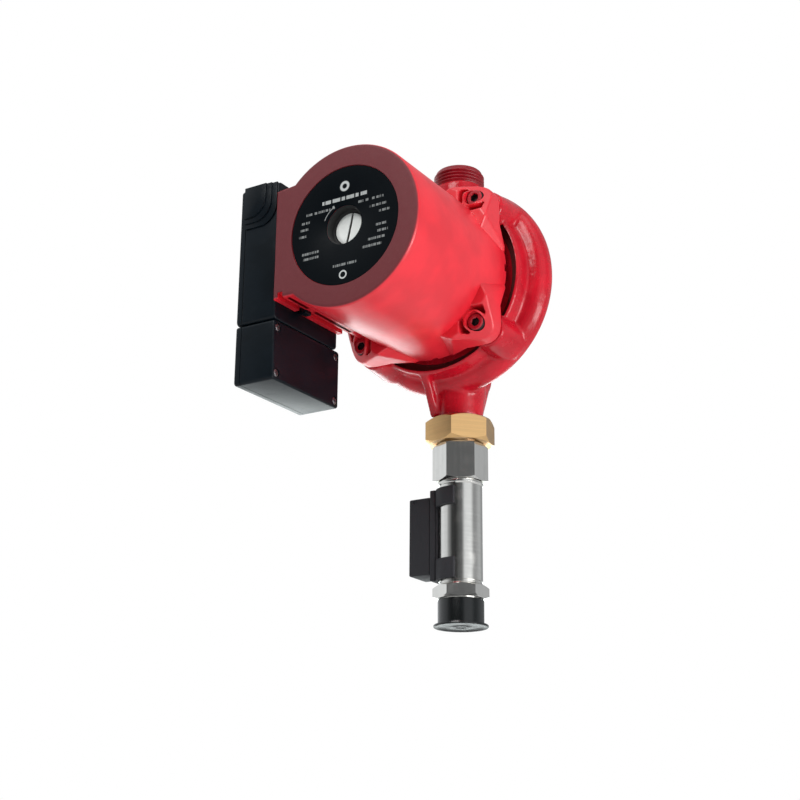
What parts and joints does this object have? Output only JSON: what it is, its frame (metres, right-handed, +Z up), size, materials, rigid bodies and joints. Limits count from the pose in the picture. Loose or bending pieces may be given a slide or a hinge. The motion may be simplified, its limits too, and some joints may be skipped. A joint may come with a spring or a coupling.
{
  "type": "circulator pump",
  "caption": "Wet-rotor circulator pump with in-line threaded ports, side terminal boxes and a flow switch with clip-on sensor hung on its lower port.",
  "frame": {"origin": "where the pipe axis crosses the motor axis, midway between the two port faces", "axes": "+Z up the pipe axis towards the upper port, -Y out of the motor's nameplate, -X towards the terminal box"},
  "size_m": [0.1483, 0.1602, 0.3024],
  "materials": {
    "volute_paint": "glossy deep red enamel over lumpy cast iron",
    "motor_paint": "satin red enamel, matter on the turned front face",
    "nameplate": "black label plate with plain printed marks",
    "plug": "white moulded plastic",
    "box": "blue-black moulded plastic, fine texture",
    "sensor_plastic": "black moulded plastic, satin",
    "cap_plastic": "soft black polythene cap",
    "rubber": "black rubber",
    "brass": "machined brass",
    "nickel": "bright nickel-plated brass, turned",
    "zinc": "zinc-plated steel",
    "stainless": "stainless sheet or wire",
    "laminations": "stacked electrical steel",
    "copper": "enamelled copper wire",
    "ceramic": "white ceramic or glass",
    "carbon": "carbon graphite",
    "hydraulic_plastic": "glass-filled engineering plastic",
    "magnet": "dark ferrite or potted case",
    "circuit": "green circuit board",
    "relay": "dark relay case",
    "block": "pale terminal block"
  },
  "bodies": {
    "pump": {"bearing_carrier": "stainless", "bearing_plate": "stainless", "box_clip": "box", "box_gasket": "rubber", "cable_grommet": "rubber", "can_seal": "rubber", "control_base": "box", "control_board": "circuit", "control_cover": "box", "control_screw_1": "zinc", "control_screw_2": "zinc", "control_screw_3": "zinc", "control_screw_4": "zinc", "cover_screw": "zinc", "flange_screw_1": "zinc", "flange_screw_2": "zinc", "flange_screw_3": "zinc", "flange_screw_4": "zinc", "front_bearing": "ceramic", "housing_gasket": "rubber", "nameplate": "nameplate", "neck_ring": "stainless", "pump_housing": "volute_paint", "rear_bearing": "ceramic", "relay": "relay", "return_spring": "stainless", "rotor_can": "stainless", "run_capacitor": "magnet", "stator_core": "laminations", "stator_housing": "motor_paint", "terminal_base": "box", "terminal_block": "block", "terminal_cover": "box", "winding_front": "copper", "winding_rear": "copper"},
    "rotor": {"shaft": "ceramic", "rotor_core": "laminations", "rotor_sleeve": "stainless", "thrust_ring": "carbon", "impeller": "hydraulic_plastic", "impeller_cone": "stainless"},
    "plug_travel": {"plug_seal": "rubber"},
    "plug": {"vent_plug": "plug"},
    "flow_switch": {"switch_body": "nickel", "union_seal": "rubber", "outlet_fitting": "nickel"},
    "nut": {"union_nut": "brass"},
    "piston": {"flow_piston": "hydraulic_plastic", "piston_magnet": "magnet"},
    "sensor": {"sensor_clip": "sensor_plastic", "sensor_case": "sensor_plastic", "reed_switch": "ceramic"},
    "cap": {"protective_cap": "cap_plastic"}
  },
  "joints": [
    {"name": "rotor_spin", "type": "hinge", "parent": "pump", "child": "rotor", "pos_m": [0, -0.06, 0], "axis": [0, -1, 0], "continuous": true},
    {"name": "plug_out", "type": "slide", "parent": "pump", "child": "plug_travel", "axis": [0, -1, 0], "range_m": [0, 0.009]},
    {"name": "plug_turn", "type": "hinge", "parent": "plug_travel", "child": "plug", "pos_m": [0, -0.125, 0], "axis": [0, -1, 0], "range_deg": [0, 2160]},
    {"name": "switch_off", "type": "slide", "parent": "pump", "child": "flow_switch", "axis": [0, 0, -1], "range_m": [0, 0.0104]},
    {"name": "nut_turn", "type": "hinge", "parent": "flow_switch", "child": "nut", "pos_m": [0, 0, -0.09], "axis": [0, 0, -1], "range_deg": [0, 1620]},
    {"name": "piston_lift", "type": "slide", "parent": "flow_switch", "child": "piston", "axis": [0, 0, 1], "range_m": [0, 0.008], "stiffness_N_per_m": 30, "springref_m": -0.01, "deforming": ["return_spring"]},
    {"name": "sensor_turn", "type": "hinge", "parent": "flow_switch", "child": "sensor", "pos_m": [0, 0, -0.156], "axis": [0, 0, 1], "continuous": true},
    {"name": "cap_pull", "type": "slide", "parent": "flow_switch", "child": "cap", "axis": [0, 0, -1], "range_m": [0, 0.02]}
  ],
  "couplings": [
    {"joint": "plug_out", "follows": "plug_turn", "m_per_rad": 0.0002387},
    {"joint": "switch_off", "follows": "nut_turn", "m_per_rad": 0.0003675}
  ]
}
